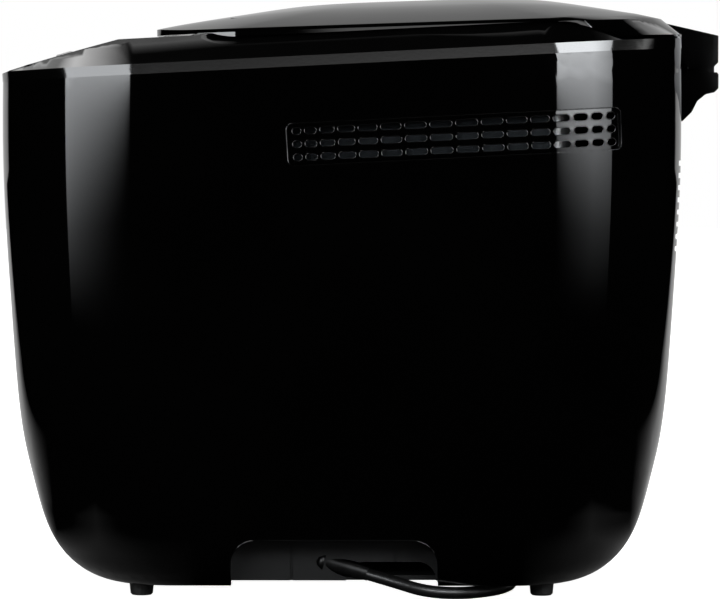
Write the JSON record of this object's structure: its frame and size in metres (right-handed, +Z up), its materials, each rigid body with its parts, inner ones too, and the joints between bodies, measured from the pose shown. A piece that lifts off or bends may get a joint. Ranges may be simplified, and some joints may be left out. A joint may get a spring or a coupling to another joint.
{
  "type": "bread machine",
  "caption": "Free-standing bread machine with a tub-shaped gloss housing, sloped control panel, hinged dome lid, slotted side grille, lift-out pan and belt-driven kneading paddle.",
  "frame": {"origin": "on the floor under the middle of the machine's box, without the cord", "axes": "+Z up, the control panel faces -Y, the lid hinge is at +Y, +X is the side with the cord"},
  "size_m": [0.313, 0.3589, 0.2984],
  "materials": {
    "gloss_black": "moulded gloss black plastic",
    "satin_black": "satin black plastic",
    "matte_black": "fine-textured matte black plastic",
    "panel_grey": "satin silver-grey plastic",
    "button_grey": "satin light grey plastic",
    "clear_window": "clear window",
    "dark_screen": "display behind the window",
    "circuit_board": "green circuit board",
    "bright_steel": "bright sheet steel",
    "zinc_steel": "zinc-plated steel",
    "aluminium": "satin aluminium",
    "nonstick": "dark non-stick coating",
    "heater_sheath": "dull heater sheath",
    "rubber_black": "black rubber",
    "seal_grey": "dark silicone seal",
    "cord_black": "soft black cord jacket",
    "bronze": "sintered bronze",
    "pulley_white": "off-white moulded plastic",
    "pin_metal": "plated pins"
  },
  "bodies": {
    "machine": {"housing": "gloss_black", "side_grille": "gloss_black", "recess_liners": "matte_black", "base_tray": "matte_black", "feet": "rubber_black", "deck": "satin_black", "control_panel": "panel_grey", "display_window": "clear_window", "display_module": "dark_screen", "control_board": "circuit_board", "baking_chamber": "bright_steel", "heating_element": "heater_sheath", "heater_clips": "zinc_steel", "temperature_sensor": "bright_steel", "thermal_fuse": "pulley_white", "pan_socket": "aluminium", "pan_clips": "bright_steel", "drive_frame": "zinc_steel", "drive_bearing": "bronze", "motor": "zinc_steel", "motor_grommets": "rubber_black", "motor_capacitor": "pulley_white", "power_board": "circuit_board", "belt": "rubber_black", "hinge_bracket": "gloss_black", "hinge_pin": "bright_steel", "cord_gland": "cord_black", "base_screws": "zinc_steel", "frame_screws": "zinc_steel", "cord_lead": "cord_black", "cord_coil": "cord_black", "cord_tie": "rubber_black", "cord_plug": "cord_black", "plug_pins": "pin_metal"},
    "lid": {"lid_shell": "gloss_black", "lid_window": "clear_window", "window_gasket": "seal_grey", "lid_liner": "aluminium", "inner_window": "clear_window", "lid_hinge_arms": "gloss_black", "lid_screws": "zinc_steel"},
    "pan": {"bread_pan": "nonstick", "pan_bearing": "bronze", "pan_base_ring": "aluminium"},
    "bail": {"pan_handle": "bright_steel"},
    "paddle": {"kneading_paddle": "nonstick", "paddle_shaft": "bright_steel", "pan_coupling": "aluminium"},
    "drive": {"drive_shaft": "bright_steel", "drive_coupling": "aluminium", "large_pulley": "pulley_white"},
    "rotor": {"motor_shaft": "bright_steel", "motor_pulley": "bright_steel"},
    "button_menu_cap": {"button_menu": "button_grey"},
    "button_crust_cap": {"button_crust": "button_grey"},
    "button_loaf_cap": {"button_loaf": "button_grey"},
    "button_time_up_cap": {"button_time_up": "button_grey"},
    "button_time_down_cap": {"button_time_down": "button_grey"},
    "button_start_cap": {"button_start": "button_grey"}
  },
  "joints": [
    {"name": "lid_hinge", "type": "hinge", "parent": "machine", "child": "lid", "pos_m": [0, 0.1725, 0.2715], "axis": [-1, 0, 0], "range_deg": [0, 95]},
    {"name": "pan_lift", "type": "slide", "parent": "machine", "child": "pan", "axis": [0, 0, 1], "range_m": [0, 0.05]},
    {"name": "bail_swing", "type": "hinge", "parent": "pan", "child": "bail", "pos_m": [0, 0.0105, 0.1935], "axis": [0, -1, 0], "range_deg": [0, 180]},
    {"name": "drive_spin", "type": "hinge", "parent": "machine", "child": "drive", "pos_m": [0, 0.0105, 0.05], "axis": [0, 0, 1], "continuous": true},
    {"name": "paddle_spin", "type": "hinge", "parent": "pan", "child": "paddle", "pos_m": [0, 0.0105, 0.08], "axis": [0, 0, 1], "continuous": true},
    {"name": "motor_spin", "type": "hinge", "parent": "machine", "child": "rotor", "pos_m": [0, -0.119, 0.06], "axis": [0, 0, 1], "continuous": true},
    {"name": "button_menu_press", "type": "slide", "parent": "machine", "child": "button_menu_cap", "axis": [0, 0.2588, -0.9659], "range_m": [0, 0.001], "stiffness_N_per_m": 400},
    {"name": "button_crust_press", "type": "slide", "parent": "machine", "child": "button_crust_cap", "axis": [0, 0.2588, -0.9659], "range_m": [0, 0.001], "stiffness_N_per_m": 400},
    {"name": "button_loaf_press", "type": "slide", "parent": "machine", "child": "button_loaf_cap", "axis": [0, 0.2588, -0.9659], "range_m": [0, 0.001], "stiffness_N_per_m": 400},
    {"name": "button_time_up_press", "type": "slide", "parent": "machine", "child": "button_time_up_cap", "axis": [0, 0.2588, -0.9659], "range_m": [0, 0.001], "stiffness_N_per_m": 400},
    {"name": "button_time_down_press", "type": "slide", "parent": "machine", "child": "button_time_down_cap", "axis": [0, 0.2588, -0.9659], "range_m": [0, 0.001], "stiffness_N_per_m": 400},
    {"name": "button_start_press", "type": "slide", "parent": "machine", "child": "button_start_cap", "axis": [0, 0.2588, -0.9659], "range_m": [0, 0.001], "stiffness_N_per_m": 400}
  ],
  "couplings": [
    {"joint": "paddle_spin", "follows": "drive_spin", "ratio": 1},
    {"joint": "motor_spin", "follows": "drive_spin", "ratio": 5.25}
  ]
}
